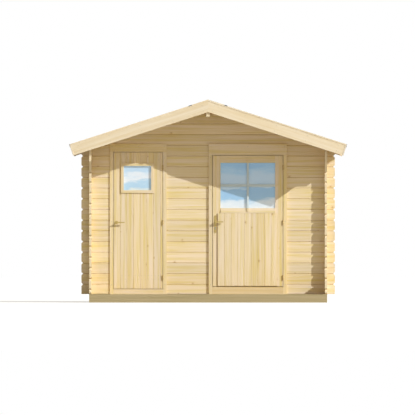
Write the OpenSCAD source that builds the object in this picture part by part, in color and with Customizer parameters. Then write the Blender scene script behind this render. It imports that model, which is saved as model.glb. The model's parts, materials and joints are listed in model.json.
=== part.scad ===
// Garden tool shed of interlocking logs under a felted saddle roof.
// A boarded door with a small window and a half-glazed door stand side by side in the front gable wall.
// Millimetres. The origin is on the ground under the middle of the walls, and the front faces -Y.

/* [Foundation] */
// Height of the foundation beams
beam_h = 105; // [70:1:150]
// Thickness of the foundation beams and joists
beam_w = 45; // [36:1:70]
// Number of joists between the two side beams
joists = 5; // [3:2:9]
// Thickness of the floor boards
floor_t = 19; // [16:1:28]
// Width of a floor board
floor_board = 95; // [70:1:140]
// Gap around the edge of the floor
floor_gap = 4; // [2:1:10]
// Depth of the porch base in front of the front wall
porch_d = 450; // [300:10:520]
// Thickness of the porch boards
deck_t = 26; // [18:1:32]
// Width of a porch board
deck_board = 95; // [70:1:140]
// Gap between porch boards
deck_gap = 6; // [3:1:10]

/* [Log walls] */
// Width over the outer faces of the side walls
wall_w = 3000; // [2900:10:4000]
// Depth over the outer faces of the front and back walls
wall_d = 2000; // [1500:10:3200]
// Thickness of a wall log
log_t = 28; // [22:1:40]
// Height of a log
log_h = 135; // [125:1:145]
// How much is cut off the underside of the lowest front and back logs
first_cut = 12; // [0:1:20]
// Extra height of the top log of a side wall, which carries the roof
top_extra = 12; // [0:1:20]
// Number of whole logs in a side wall, above its half log
side_courses = 14; // [13:1:16]
// Number of top logs in a side wall that run out under the roof overhangs
long_courses = 2; // [1:1:3]
// Reach of those long logs past the front wall
long_out = 440; // [380:10:520]
// Reach of the bracket log under them past the front corner, along its underside
bracket_out = 151; // [110:1:250]
// Slope of the bracket log's cut end in degrees
bracket_slope = 49; // [40:1:70]
// Number of whole logs in a side wall that run out over the porch base
low_courses = 1; // [1:1:2]
// Length of the log ends past the corners
log_end = 100; // [60:1:160]
// Chamfer along the edges of every log
groove = 4.5; // [1:0.5:8]
// Chamfer at the corners of the log ends
end_chamfer = 20; // [5:1:30]
// Play on each side of a corner notch
notch_play = 0.5; // [0.2:0.1:2]

/* [Roof] */
// Slope of the roof in degrees
roof_pitch = 17.8; // [14:0.1:22]
// Overhang past each side wall, measured level
eave_out = 249; // [150:1:350]
// Overhang past the front wall
front_out = 545; // [300:1:700]
// Overhang past the back wall
back_out = 200; // [150:1:400]
// Thickness of the roof boards
roof_t = 16; // [14:1:24]
// Thickness of one layer of roofing felt
felt_t = 3; // [2:0.5:5]
// Width of the felt strip over the ridge
ridge_felt_w = 500; // [300:10:800]
// Width of the ridge purlin
purlin_w = 45; // [36:1:70]
// Height of the ridge purlin under the ridge
purlin_h = 194; // [120:1:240]
// Thickness of the barge boards
barge_t = 18; // [14:1:28]
// Depth of the barge boards, square to the slope, from the top of the roof boards
barge_h = 145; // [110:1:190]
// Thickness of the eave boards
eave_t = 16; // [12:1:28]
// Depth of the eave boards, square to the slope
eave_h = 85; // [60:1:120]

/* [Door frames] */
// Width of the casing on the posts
post_w = 45; // [38:1:60]
// How far the frames lap over the logs around a doorway
frame_lap = 25; // [12:1:30]
// How far the head casings lap over the log above
head_lap = 17; // [5:1:25]
// Thickness of the head between its casings
head_web = 28; // [20:1:45]
// Thickness of the inner casing
lining_t = 13; // [10:1:22]
// How far the door stops stand out of the frame
stop_w = 13; // [9:1:20]
// Gap around a closed leaf
leaf_gap = 6.5; // [5:0.5:9]

/* [Left door] */
// Middle of the left door, from the middle of the front
left_x = -882; // [-920:1:-860]
// Width over the left frame
left_w = 717; // [640:1:760]
// How far the left casing stands out of the logs
left_casing = 13; // [10:1:22]
// Height of the left sill
left_sill_h = 62; // [50:1:90]
// Height of the left head casing
left_head_h = 100; // [60:1:140]
// Thickness of the left leaf's boards
board_t = 19; // [16:1:28]
// Width of a door board
board_w = 84; // [60:1:120]
// Width of the first board on the lock side
first_board = 79; // [40:1:84]
// Width of a ledge on the back of the left leaf
ledge_w = 95; // [60:1:120]
// Thickness of a ledge
ledge_t = 19; // [14:1:28]
// Distance from a leaf's edge to the ledge ends
ledge_inset = 70; // [60:1:110]
// Width of the left window's hole
window_w = 362; // [240:1:370]
// Height of the left window's hole
window_h = 323; // [200:1:340]
// Middle of the left window, from the middle of the leaf
window_dx = -10; // [-15:1:30]
// Middle of the left window, below the top of the leaf
window_drop = 324; // [280:1:400]
// Width of the trim around the left window
trim_w = 34; // [26:1:40]
// How far that trim stands out of the boards
trim_t = 12; // [8:1:16]
// How far that trim laps over the glass
trim_lip = 8; // [5:1:12]

/* [Right door] */
// Middle of the right door, from the middle of the front
right_x = 501; // [490:1:600]
// Width over the right frame
right_w = 987; // [880:1:1000]
// How far the right casing stands out of the logs
right_casing = 20; // [10:1:24]
// Height of the right sill
right_sill_h = 93; // [50:1:120]
// Height of the right head casing
right_head_h = 140; // [70:1:160]
// Thickness of the right leaf
leaf_t = 40; // [34:1:48]
// Width of the stiles
stile_w = 97; // [80:1:120]
// Height of the top rail
top_rail = 92; // [70:1:130]
// Height of the middle rail
mid_rail = 130; // [100:1:160]
// Height of the bottom rail
bottom_rail = 112; // [80:1:160]
// Height of the glass that shows in the right leaf
light_h = 572; // [400:1:650]
// How far the glass sits in its rebate
rebate = 9; // [6:1:14]
// Thickness of the lip in front of the glass
glass_lip = 12; // [8:1:16]
// Thickness of the board cladding on the lower panel
clad_t = 12; // [9:1:18]
// How far the cladding laps over the stiles and rails
clad_lap = 33; // [20:1:45]
// Gap under the cladding, from the bottom edge of the leaf
clad_low = 5; // [3:1:50]

/* [Glass and hardware] */
// Thickness of the window glass
glass_t = 4; // [3:0.5:6]
// Diameter of a hinge barrel
barrel_d = 14; // [12:0.5:16]
// Height of a hinge
hinge_h = 60; // [50:1:90]
// Diameter of a hinge pin
pin_d = 7; // [5:0.5:8]
// Diameter of the screw shanks that hold a hinge in the wood
shank_d = 6; // [4:0.5:7]
// Length of those shanks, from the pin
shank_l = 24; // [18:1:26]
// Height of the lowest hinges above the bottom of the right leaf
hinge_low = 110; // [80:1:300]
// Distance of the top hinges below the top of the right leaf
hinge_high = 150; // [80:1:300]
// Height of the left lever over the ground
left_lever_z = 1009; // [900:1:1080]
// Height of the right lever over the ground
right_lever_z = 1016; // [900:1:1080]
// Distance from a leaf's lock edge to its spindle
backset = 32; // [30:1:50]
// Length of a lever, from its spindle
lever_l = 103; // [80:1:130]
// Thickness of a lever
lever_t = 12; // [8:1:16]
// Diameter of a spindle
spindle_d = 9; // [8:0.5:10]
// Diameter of a rose
rose_d = 40; // [32:1:50]
// Thickness of roses and lock plates
plate_t = 4; // [2:0.5:6]
// Width of a lock plate
plate_w = 28; // [24:1:50]
// Height of a lock plate
plate_h = 222; // [160:1:260]
// Height of a lock plate above the spindle
plate_top = 83; // [50:1:100]
// Distance from a plate to its lever
neck_l = 28; // [20:1:40]

/* [Hidden] */
$fn = 48;
over = 10;          // how far a cutting shape passes the face it cuts
spruce = "#E6CE9E";
treated = "#B2A27A";
brassy = "#A38A52";

// Walls. front_y and side_x are the middles of the log thickness, and log_base is where
// the lowest front log would start if it were whole.
front_y = -(wall_d - log_t) / 2;
porch_front = -wall_d / 2 - porch_d;
side_x = (wall_w - log_t) / 2;
log_base = beam_h - first_cut;
side_top = log_base + (side_courses + 0.5) * log_h + top_extra;
door_top = log_base + side_courses * log_h;
ridge_z = side_top + (wall_w / 2 - log_t) * tan(roof_pitch);
ridge_courses = ceil((ridge_z - log_base) / log_h);
function whole_joints(first, last) = [for (k = [first:last]) log_base + k * log_h];
function course_joints(first, last) = [for (z = whole_joints(first, last)) max(beam_h, z)];
function side_joints(first, last) = [for (k = [first:last])
    k > side_courses ? side_top : max(beam_h, log_base + (k - 0.5) * log_h)];

// Roof, as distance along the slope from the ridge and height square to its underside.
roof_front = -wall_d / 2 - front_out;
roof_back = wall_d / 2 + back_out;
cover_t = roof_t + felt_t;
felt_seam = 0.1;    // bitumen between two layers of felt
board_seam = 0.1;   // between boards nailed edge to edge
function mirrored(p) = [-p[0], p[1]];
slope_l = (wall_w / 2 + eave_out - cover_t * sin(roof_pitch)) / cos(roof_pitch);
purlin_z = ridge_z - purlin_h;
function slope_point(s, n) =
    [s * cos(roof_pitch) + n * sin(roof_pitch), ridge_z - s * sin(roof_pitch) + n * cos(roof_pitch)];
function slope_strip(s, n0, n1) =
    [[0, ridge_z + n0 / cos(roof_pitch)], slope_point(s, n0), slope_point(s, n1),
        [0, ridge_z + n1 / cos(roof_pitch)]];

// Doorways: each row is [middle x, frame width, casing, sill height, head height, leaf thickness].
LEFT = [left_x, left_w, left_casing, left_sill_h, left_head_h, board_t];
RIGHT = [right_x, right_w, right_casing, right_sill_h, right_head_h, leaf_t];
head_top = door_top + head_lap;
function frame_low(d) = d[0] - d[1] / 2;
function frame_high(d) = d[0] + d[1] / 2;
function opening_low(d) = frame_low(d) + frame_lap;
function opening_high(d) = frame_high(d) - frame_lap;
function leaf_low(d) = frame_low(d) + post_w + leaf_gap;
function leaf_high(d) = frame_high(d) - post_w - leaf_gap;
function leaf_bottom(d) = beam_h + d[3] + leaf_gap;
function leaf_top(d) = head_top - d[4] - leaf_gap;
function face_y(d) = -wall_d / 2 - d[2];
function stop_y(d) = face_y(d) + d[5] + leaf_gap;
wall_in = -wall_d / 2 + log_t;
frame_in = wall_in + lining_t;

// Hinges stand in front of the gap on the hinge side. Their lower halves stay on the frame.
hinge_out = barrel_d / 2 + 1;
pin_play = 0.2;
half_play = 0.3;
sleeve_cap = 5;     // solid top of a hinge's upper half
pin_gap = 1;        // from the pin to that top
hinge_ends = [leaf_bottom(RIGHT) + hinge_low, leaf_top(RIGHT) - hinge_high];
hinge_z = [hinge_ends[0], (hinge_ends[0] + hinge_ends[1]) / 2, hinge_ends[1]];
function hinge_x(d) = leaf_high(d) + leaf_gap / 2;
function hinge_y(d) = face_y(d) - hinge_out;

// Windows and handles
glass_play = 2;
lip_play = 0.5;
window_x = (leaf_low(LEFT) + leaf_high(LEFT)) / 2 + window_dx;
window_z = leaf_top(LEFT) - window_drop;
light_low = leaf_low(RIGHT) + stile_w;
light_high = leaf_high(RIGHT) - stile_w;
light_top = leaf_top(RIGHT) - top_rail;
light_bottom = light_top - light_h;
panel_top = light_bottom - mid_rail;
panel_bottom = leaf_bottom(RIGHT) + bottom_rail;
spindle_play = 1;
function spindle_x(d) = leaf_low(d) + backset;

// A profile drawn as (y, z), (x, z) or (x, y) and run along the third axis.
module along_x(from, to) translate([from, 0, 0]) rotate([90, 0, 90]) linear_extrude(to - from) children();
module along_y(from, to) translate([0, to, 0]) rotate([90, 0, 0]) linear_extrude(to - from) children();
module along_z(from, to) translate([0, 0, from]) linear_extrude(to - from) children();
module block(low, high) translate(low) cube(high - low);

// Section of a stack of logs: both faces step in at every joint, where two chamfers make a V.
function stack_side(z, t) = concat(
    [for (i = [0:len(z) - 2]) each
        [[t / 2 - groove, z[i]], [t / 2, z[i] + groove], [t / 2, z[i + 1] - groove]]],
    [[t / 2 - groove, z[len(z) - 1]]]);
module stack(middle, z, t = log_t) {
    side = stack_side(z, t);
    polygon(concat([for (p = side) [middle + p[0], p[1]]],
        [for (i = [len(side) - 1:-1:0]) [middle - side[i][0], side[i][1]]]));
}

// Corner lock: in the column where two walls cross, each log keeps the middle half of its height.
module front_corner_cuts(side, y, z) for (h = z)
    translate([side * side_x, y, h]) cube([log_t + 2 * notch_play, log_t + over, log_h / 2], center = true);
module side_corner_cuts(side, z) for (y = [-1, 1], h = z)
    translate([side * side_x, y * front_y, h])
        cube([log_t + over, log_t + 2 * notch_play, log_h / 2], center = true);

// Triangles that take the corners off the log ends at every joint. The lowest corners stay square.
module end_cut(end, way, z) polygon([[end + way, z - end_chamfer - 1], [end - way * end_chamfer, z],
    [end + way, z + end_chamfer + 1]]);
module front_end_cuts(side, y, z) for (h = z)
    along_y(y - log_t, y + log_t) end_cut(side * (wall_w / 2 + log_end), side, h);
module side_logs(side, from, z) difference() {
    to = wall_d / 2 + log_end;
    along_y(from, to) stack(side * side_x, z);
    for (h = z) along_x(side * side_x - log_t, side * side_x + log_t) {
        end_cut(from, -1, h);
        end_cut(to, 1, h);
    }
}

// Everything under the roof boards, and the slot through a gable for the ridge purlin.
module under_roof() {
    far = wall_w;
    drop = ridge_z - far * tan(roof_pitch);
    along_y(roof_front, roof_back) polygon([[-far, 0], [far, 0], [far, drop], [0, ridge_z], [-far, drop]]);
}
module purlin_slot(y) block([-purlin_w / 2 - notch_play, y - log_t, purlin_z],
    [purlin_w / 2 + notch_play, y + log_t, ridge_z + over]);

module foundation_front_beam() color(treated)
    block([-wall_w / 2, porch_front, 0], [wall_w / 2, porch_front + beam_w, beam_h]);

module foundation_back_beam() color(treated)
    block([-wall_w / 2, wall_d / 2 - beam_w, 0], [wall_w / 2, wall_d / 2, beam_h]);

// Two side beams and the joists between them, which are cut down under the porch boards.
module foundation_joists() color(treated) {
    pitch = (wall_w - beam_w) / (joists + 1);
    for (i = [0:joists + 1]) {
        porch_h = i == 0 || i == joists + 1 ? beam_h : beam_h - deck_t;
        along_x(i * pitch - wall_w / 2, i * pitch - wall_w / 2 + beam_w) {
            translate([porch_front + beam_w, 0]) square([porch_d - beam_w, porch_h]);
            translate([-wall_d / 2, 0]) square([wall_d - beam_w, beam_h]);
        }
    }
}

// Boards along X, level with the top of the front beam.
module porch_boards() color(treated) {
    depth = porch_d - beam_w;
    pitch = deck_board + deck_gap;
    count = floor((depth + deck_gap) / pitch);
    start = porch_front + beam_w + (depth - count * pitch + deck_gap) / 2;
    side = wall_w / 2 - beam_w - deck_gap / 2;
    for (i = [0:count - 1])
        block([-side, start + i * pitch, beam_h - deck_t], [side, start + i * pitch + deck_board, beam_h]);
}

// Tongued boards along X with a V at every joint, cut out around the door frames.
module floor_boards() color(spruce) difference() {
    low = wall_in + floor_gap;
    v = 2;
    side = wall_w / 2 - log_t - floor_gap;
    along_x(-side, side) difference() {
        translate([low, beam_h]) square([-2 * low, floor_t]);
        for (y = [low + floor_board:floor_board:-low - v])
            translate([y, beam_h + floor_t]) rotate(45) square(v * sqrt(2), center = true);
    }
    for (d = [LEFT, RIGHT]) block([frame_low(d) - floor_gap, low - over, 0],
        [frame_high(d) + floor_gap, frame_in + floor_gap, beam_h + floor_t + over]);
}

module front_logs(from, to) {
    along_x(from, to) stack(front_y, course_joints(0, side_courses));
}

module front_wall_left() color(spruce) difference() {
    front_logs(-wall_w / 2 - log_end, opening_low(LEFT));
    front_corner_cuts(-1, front_y, whole_joints(0, side_courses));
    front_end_cuts(-1, front_y, whole_joints(1, side_courses));
}

module front_wall_middle() color(spruce) front_logs(opening_high(LEFT), opening_low(RIGHT));

module front_wall_right() color(spruce) difference() {
    front_logs(opening_high(RIGHT), wall_w / 2 + log_end);
    front_corner_cuts(1, front_y, whole_joints(0, side_courses));
    front_end_cuts(1, front_y, whole_joints(1, side_courses));
}

// Logs of an end wall from one course up to the roof.
module gable_logs(y, first) intersection() {
    difference() {
        along_x(-wall_w / 2 - log_end, wall_w / 2 + log_end)
            stack(y, course_joints(first, ridge_courses));
        for (side = [-1, 1]) {
            front_corner_cuts(side, y, whole_joints(first, ridge_courses));
            front_end_cuts(side, y, whole_joints(max(first, 1), ridge_courses));
        }
        purlin_slot(y);
    }
    under_roof();
}

module front_gable() color(spruce) gable_logs(front_y, side_courses);

module back_wall() color(spruce) gable_logs(-front_y, 0);

// The log under the long ones runs on as a bracket, with its end cut on the slant.
module bracket_log(side, z) intersection() {
    reach = bracket_out + log_h / tan(bracket_slope);
    along_y(-wall_d / 2 - reach, wall_in) stack(side * side_x, z);
    along_x(side * side_x - log_t, side * side_x + log_t)
        polygon([[0, z[0]], [-wall_d / 2 - bracket_out, z[0]], [-wall_d / 2 - reach, z[1]], [0, z[1]]]);
}

// A side wall starts with a half log. Its lowest logs run out over the porch base,
// and its top logs run out under both overhangs.
module side_wall(side) color(spruce) intersection() {
    last = side_courses + 1;
    long_from = last - long_courses;
    notch_z = [for (k = [0:side_courses]) log_base + (k + 0.5) * log_h];
    difference() {
        union() {
            side_logs(side, porch_front, side_joints(0, low_courses + 1));
            side_logs(side, -wall_d / 2 - log_end, side_joints(low_courses + 1, long_from));
            bracket_log(side, side_joints(long_from - 1, long_from));
            along_y(-wall_d / 2 - long_out, roof_back - barge_t)
                stack(side * side_x, side_joints(long_from, last));
        }
        side_corner_cuts(side, notch_z);
    }
    under_roof();
}

module left_wall() side_wall(-1);

module right_wall() side_wall(1);

module ridge_purlin() color(spruce) along_y(roof_front + barge_t, roof_back - barge_t)
    polygon([[-purlin_w / 2, purlin_z], [purlin_w / 2, purlin_z],
        [purlin_w / 2, ridge_z - purlin_w / 2 * tan(roof_pitch)], [0, ridge_z],
        [-purlin_w / 2, ridge_z - purlin_w / 2 * tan(roof_pitch)]]);

// Mirrors what is drawn for the right slope when side is -1.
module on_side(side) mirror([side < 0 ? 1 : 0, 0, 0]) children();

module roof_boards(side) color(spruce) on_side(side) along_y(roof_front + barge_t, roof_back - barge_t)
    polygon(slope_strip(slope_l, 0, roof_t));

module roof_boards_left() roof_boards(-1);

module roof_boards_right() roof_boards(1);

// One sheet bent over the ridge, drawn down the right slope and back up the left.
module felt_layer(reach, low) color("#55585A") along_y(roof_front, roof_back) {
    right = slope_strip(reach, low, low + felt_t);
    polygon([right[0], right[1], right[2], right[3], mirrored(right[2]), mirrored(right[1])]);
}

module roof_felt() felt_layer(slope_l, roof_t);

module ridge_felt() felt_layer(ridge_felt_w / 2, cover_t + felt_seam);

// The barge boards cover the ends of the roof boards and carry the edge of the felt.
module barge_board(side, y) color(spruce) on_side(side) along_y(y, y + barge_t)
    polygon(slope_strip(slope_l, roof_t - barge_h, roof_t));

module front_barge_left() barge_board(-1, roof_front);

module front_barge_right() barge_board(1, roof_front);

module back_barge_left() barge_board(-1, roof_back - barge_t);

module back_barge_right() barge_board(1, roof_back - barge_t);

// The eave boards close the ends of the roof boards from barge to barge.
module eave_board(side) color(spruce) on_side(side)
    along_y(roof_front + barge_t + board_seam, roof_back - barge_t - board_seam)
        polygon([slope_point(slope_l - eave_t, -eave_h), slope_point(slope_l, -eave_h),
            slope_point(slope_l, -board_seam), slope_point(slope_l - eave_t, -board_seam)]);

module eave_board_left() eave_board(-1);

module eave_board_right() eave_board(1);

// Frame section, as distance out of the doorway and y: two casings grip the logs,
// and the stop behind the leaf stands into the doorway.
module frame_section(d, casing_w, web) {
    polygon([[0, face_y(d)], [casing_w, face_y(d)], [casing_w, -wall_d / 2], [web, -wall_d / 2],
        [web, wall_in], [casing_w, wall_in], [casing_w, frame_in], [-stop_w, frame_in],
        [-stop_w, stop_y(d)], [0, stop_y(d)]]);
}

module post(d, side) difference() {
    edge = side < 0 ? frame_low(d) + post_w : frame_high(d) - post_w;
    along_z(beam_h, head_top - d[4])
        translate([edge, 0]) mirror([side < 0 ? 1 : 0, 0]) frame_section(d, post_w, post_w - frame_lap);
    if (side > 0) hinge_shanks(d, 1, pin_play);
}

module left_lock_post() color(spruce) post(LEFT, -1);

module left_hinge_post() color(spruce) post(LEFT, 1);

module right_lock_post() color(spruce) post(RIGHT, -1);

module right_hinge_post() color(spruce) post(RIGHT, 1);

// The head lies on both posts. Its stop ends between theirs.
module head(d) difference() {
    low = head_top - d[4];
    along_x(frame_low(d), frame_high(d)) translate([0, low]) rotate(90) mirror([0, 1])
        frame_section(d, d[4], head_web);
    stop_run = post_w + stop_w;
    for (x = [frame_low(d) - over, frame_high(d) - stop_run])
        block([x, stop_y(d) - over, low - stop_w - over], [x + stop_run + over, frame_in + over, low]);
    for (x = [frame_low(d) - over, opening_high(d)])
        block([x, -wall_d / 2, low - over], [x + frame_lap + over, wall_in, head_top + over]);
}

module left_head() color(spruce) head(LEFT);

module right_head() color(spruce) head(RIGHT);

module sill(d) {
    top = beam_h + d[3];
    low = frame_low(d) + post_w;
    high = frame_high(d) - post_w;
    along_x(low, high) translate([face_y(d), beam_h]) square([frame_in - face_y(d), d[3]]);
    along_x(low + stop_w, high - stop_w) translate([stop_y(d), top]) square([frame_in - stop_y(d), stop_w]);
}

module left_sill() color(spruce) difference() {
    sill(LEFT);
    sill_corners(LEFT);
}

module right_sill() color(spruce) difference() {
    sill(RIGHT);
    sill_corners(RIGHT);
}

// Room in a sill's ends for the stops of the posts.
module sill_corners(d) for (x = [frame_low(d) + post_w - over, frame_high(d) - post_w - stop_w])
    block([x, stop_y(d), beam_h - over], [x + stop_w + over, frame_in + over, beam_h + d[3] + over]);

// Screw shanks of the hinges, at 45 degrees into the post (side 1) or the leaf (side -1).
module hinge_shanks(d, side, play) for (z = hinge_z)
    translate([hinge_x(d), hinge_y(d), z - side * hinge_h / 4]) rotate([-90, 0, -side * 45])
        cylinder(h = shank_l + play, d = shank_d + 2 * play);

module hinge_pins(d) color("silver") {
    barrel_h = (hinge_h - half_play) / 2;
    for (z = hinge_z) translate([hinge_x(d), hinge_y(d), z - hinge_h / 2]) {
        cylinder(h = barrel_h, d = barrel_d);
        cylinder(h = hinge_h - sleeve_cap - pin_gap, d = pin_d);
    }
    hinge_shanks(d, 1, 0);
}

module hinge_sleeves(d) color("silver") difference() {
    barrel_h = (hinge_h - half_play) / 2;
    union() {
        for (z = hinge_z) translate([hinge_x(d), hinge_y(d), z + hinge_h / 2 - barrel_h])
            cylinder(h = barrel_h, d = barrel_d);
        hinge_shanks(d, -1, 0);
    }
    for (z = hinge_z) translate([hinge_x(d), hinge_y(d), z - hinge_h / 2])
        cylinder(h = hinge_h - sleeve_cap, d = pin_d + 2 * pin_play);
}

module left_hinge_pins() hinge_pins(LEFT);

module right_hinge_pins() hinge_pins(RIGHT);

module left_hinge_sleeves() hinge_sleeves(LEFT);

module right_hinge_sleeves() hinge_sleeves(RIGHT);

module spindle_bore(d, z) translate([spindle_x(d), face_y(d) - over - plate_t, z]) rotate([-90, 0, 0])
    cylinder(h = d[5] + 2 * (plate_t + over), d = spindle_d + 2 * spindle_play);

// Upright boards, drawn as (x, y), with a V at every joint on both faces.
module board_row(from, to, first, y, t) {
    v = 3;
    difference() {
        translate([from, y]) square([to - from, t]);
        for (x = [from + first:board_w:to - v], face = [y, y + t])
            translate([x, face]) rotate(45) square(v * sqrt(2), center = true);
    }
}

module left_leaf_boards() color(spruce) difference() {
    along_z(leaf_bottom(LEFT), leaf_top(LEFT))
        board_row(leaf_low(LEFT), leaf_high(LEFT), first_board, face_y(LEFT), board_t);
    translate([window_x, face_y(LEFT) + board_t / 2, window_z])
        cube([window_w, board_t + over, window_h], center = true);
    hinge_shanks(LEFT, -1, pin_play);
    spindle_bore(LEFT, left_lever_z);
}

// Three ledges behind the boards: under the window, over it and near the foot.
module left_leaf_ledges() color(spruce) {
    low = leaf_low(LEFT) + ledge_inset;
    high = leaf_high(LEFT) - ledge_inset / 2;
    back = face_y(LEFT) + board_t;
    under_window = window_z - window_h / 2 - trim_w;
    for (z = [leaf_bottom(LEFT) + ledge_w, under_window - 2 * ledge_w, leaf_top(LEFT) - ledge_w * 1.25])
        block([low, back, z], [high, back + ledge_t, z + ledge_w]);
}

// A square ring on each face of the leaf, with a lip that runs in to the glass.
module trim_ring(inset_w, inset_h, y, depth) difference() {
    translate([window_x, y + depth / 2, window_z])
        cube([window_w + 2 * inset_w, depth, window_h + 2 * inset_h], center = true);
    translate([window_x, y + depth / 2, window_z])
        cube([window_w - 2 * trim_lip, depth + over, window_h - 2 * trim_lip], center = true);
}

module left_window_trim() color(spruce) {
    lap = trim_w - trim_lip;
    lip_depth = (board_t - glass_t) / 2;
    face = face_y(LEFT);
    trim_ring(lap, lap, face - trim_t, trim_t);
    trim_ring(-lip_play, -lip_play, face, lip_depth);
    trim_ring(-lip_play, -lip_play, face + board_t - lip_depth, lip_depth);
    trim_ring(lap, lap, face + board_t, trim_t);
}

module left_window_glass() color("#BFD6EE") translate([window_x, face_y(LEFT) + board_t / 2, window_z])
    cube([window_w - 2 * glass_play, glass_t, window_h - 2 * glass_play], center = true);

// Stiles and rails, rebated from the back for the glass and bored for hinges and spindle.
module right_leaf_frame() color(spruce) difference() {
    face = face_y(RIGHT);
    block([leaf_low(RIGHT), face, leaf_bottom(RIGHT)], [leaf_high(RIGHT), face + leaf_t, leaf_top(RIGHT)]);
    block([light_low, face - over, light_bottom], [light_high, face + leaf_t + over, light_top]);
    block([light_low - rebate, face + glass_lip, light_bottom - rebate],
        [light_high + rebate, face + leaf_t + over, light_top + rebate]);
    block([light_low, face - over, panel_bottom], [light_high, face + leaf_t + over, panel_top]);
    hinge_shanks(RIGHT, -1, pin_play);
    spindle_bore(RIGHT, right_lever_z);
}

module right_leaf_cladding() color(spruce) {
    low = light_low - clad_lap;
    high = light_high + clad_lap;
    boards = round((high - low) / board_w);
    first = (high - low - (boards - 2) * board_w) / 2;
    along_z(leaf_bottom(RIGHT) + clad_low, panel_top + 2 * clad_lap)
        board_row(low, high, first, face_y(RIGHT) - clad_t, clad_t);
}

module right_window_glass() color("#BFD6EE") {
    fit = rebate - glass_play;
    back = face_y(RIGHT) + glass_lip;
    block([light_low - fit, back, light_bottom - fit], [light_high + fit, back + glass_t, light_top + fit]);
}

module right_glazing_beads() color(spruce) difference() {
    front = face_y(RIGHT) + glass_lip + glass_t;
    back = face_y(RIGHT) + leaf_t;
    fit = rebate - lip_play;
    block([light_low - fit, front, light_bottom - fit], [light_high + fit, back, light_top + fit]);
    block([light_low, front - over, light_bottom], [light_high, back + over, light_top]);
}

module left_roses() color(brassy) difference() {
    for (y = [face_y(LEFT) - plate_t, face_y(LEFT) + board_t])
        translate([spindle_x(LEFT), y, left_lever_z]) rotate([-90, 0, 0]) cylinder(h = plate_t, d = rose_d);
    spindle_bore(LEFT, left_lever_z);
}

module right_lock_plates() color(brassy) difference() {
    for (y = [face_y(RIGHT) - plate_t, face_y(RIGHT) + leaf_t])
        along_y(y, y + plate_t) translate([spindle_x(RIGHT), right_lever_z + plate_top - plate_h / 2])
            plate_outline();
    spindle_bore(RIGHT, right_lever_z);
}

// A lock plate with half-round ends.
module plate_outline() {
    straight = plate_h - plate_w;
    square([plate_w, straight], center = true);
    for (side = [-1, 1]) translate([0, side * straight / 2]) circle(d = plate_w);
}

// A lever drawn as (x, z) from the spindle, round at both ends and tapering to its tip.
function arc(x, r, from, to) =
    [for (i = [0:12]) let (a = from + (to - from) * i / 12) [x + r * cos(a), r * sin(a)]];
module lever_outline() {
    root_r = lever_t * 0.75;
    tip_r = lever_t / 2;
    tip = lever_l - tip_r;
    lean = acos((root_r - tip_r) / tip);
    polygon(concat(arc(0, root_r, lean, 360 - lean), arc(tip, tip_r, -lean, lean)));
}

module lever(d, z) color(brassy) translate([spindle_x(d), 0, z]) {
    outer = face_y(d) - plate_t - neck_l;
    inner = face_y(d) + d[5] + plate_t + neck_l;
    for (y = [outer - lever_t, inner]) along_y(y, y + lever_t) lever_outline();
    translate([0, outer, 0]) rotate([-90, 0, 0]) cylinder(h = inner - outer, d = spindle_d);
    for (y = [outer, inner - neck_l + spindle_play])
        translate([0, y, 0]) rotate([-90, 0, 0]) cylinder(h = neck_l - spindle_play, d = lever_t * 1.2);
}

module left_lever() lever(LEFT, left_lever_z);

module right_lever() lever(RIGHT, right_lever_z);

foundation_front_beam();
foundation_back_beam();
foundation_joists();
porch_boards();
floor_boards();
front_wall_left();
front_wall_middle();
front_wall_right();
front_gable();
back_wall();
left_wall();
right_wall();
ridge_purlin();
roof_boards_left();
roof_boards_right();
roof_felt();
ridge_felt();
front_barge_left();
front_barge_right();
back_barge_left();
back_barge_right();
eave_board_left();
eave_board_right();
left_lock_post();
left_hinge_post();
left_head();
left_sill();
left_hinge_pins();
right_lock_post();
right_hinge_post();
right_head();
right_sill();
right_hinge_pins();
left_leaf_boards();
left_leaf_ledges();
left_window_trim();
left_window_glass();
left_hinge_sleeves();
left_roses();
left_lever();
right_leaf_frame();
right_leaf_cladding();
right_glazing_beads();
right_window_glass();
right_hinge_sleeves();
right_lock_plates();
right_lever();
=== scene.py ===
"""Garden tool shed of interlocking spruce logs, dressed for rendering around its packed construction."""
import json
import math

import bmesh
import bpy
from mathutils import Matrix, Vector


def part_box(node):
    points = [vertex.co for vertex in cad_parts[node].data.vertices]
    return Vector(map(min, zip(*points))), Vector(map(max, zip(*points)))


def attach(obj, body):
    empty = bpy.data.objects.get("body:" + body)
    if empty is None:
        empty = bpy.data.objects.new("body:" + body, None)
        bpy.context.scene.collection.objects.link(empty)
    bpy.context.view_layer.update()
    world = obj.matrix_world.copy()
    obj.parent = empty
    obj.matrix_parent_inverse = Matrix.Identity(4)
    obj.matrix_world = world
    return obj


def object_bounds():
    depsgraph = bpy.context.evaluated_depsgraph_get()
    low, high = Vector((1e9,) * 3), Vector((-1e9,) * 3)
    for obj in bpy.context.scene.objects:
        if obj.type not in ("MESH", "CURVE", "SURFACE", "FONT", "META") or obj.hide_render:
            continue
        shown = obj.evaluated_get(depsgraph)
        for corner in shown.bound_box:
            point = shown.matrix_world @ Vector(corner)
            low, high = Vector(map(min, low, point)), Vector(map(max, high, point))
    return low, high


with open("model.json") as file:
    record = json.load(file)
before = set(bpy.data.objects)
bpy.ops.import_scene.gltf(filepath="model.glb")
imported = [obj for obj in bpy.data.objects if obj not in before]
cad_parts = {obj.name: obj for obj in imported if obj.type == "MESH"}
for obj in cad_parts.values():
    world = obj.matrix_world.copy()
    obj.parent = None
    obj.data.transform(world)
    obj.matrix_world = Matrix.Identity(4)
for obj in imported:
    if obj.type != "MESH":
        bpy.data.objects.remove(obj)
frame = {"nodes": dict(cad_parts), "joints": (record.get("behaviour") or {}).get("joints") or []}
cad_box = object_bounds()

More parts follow.
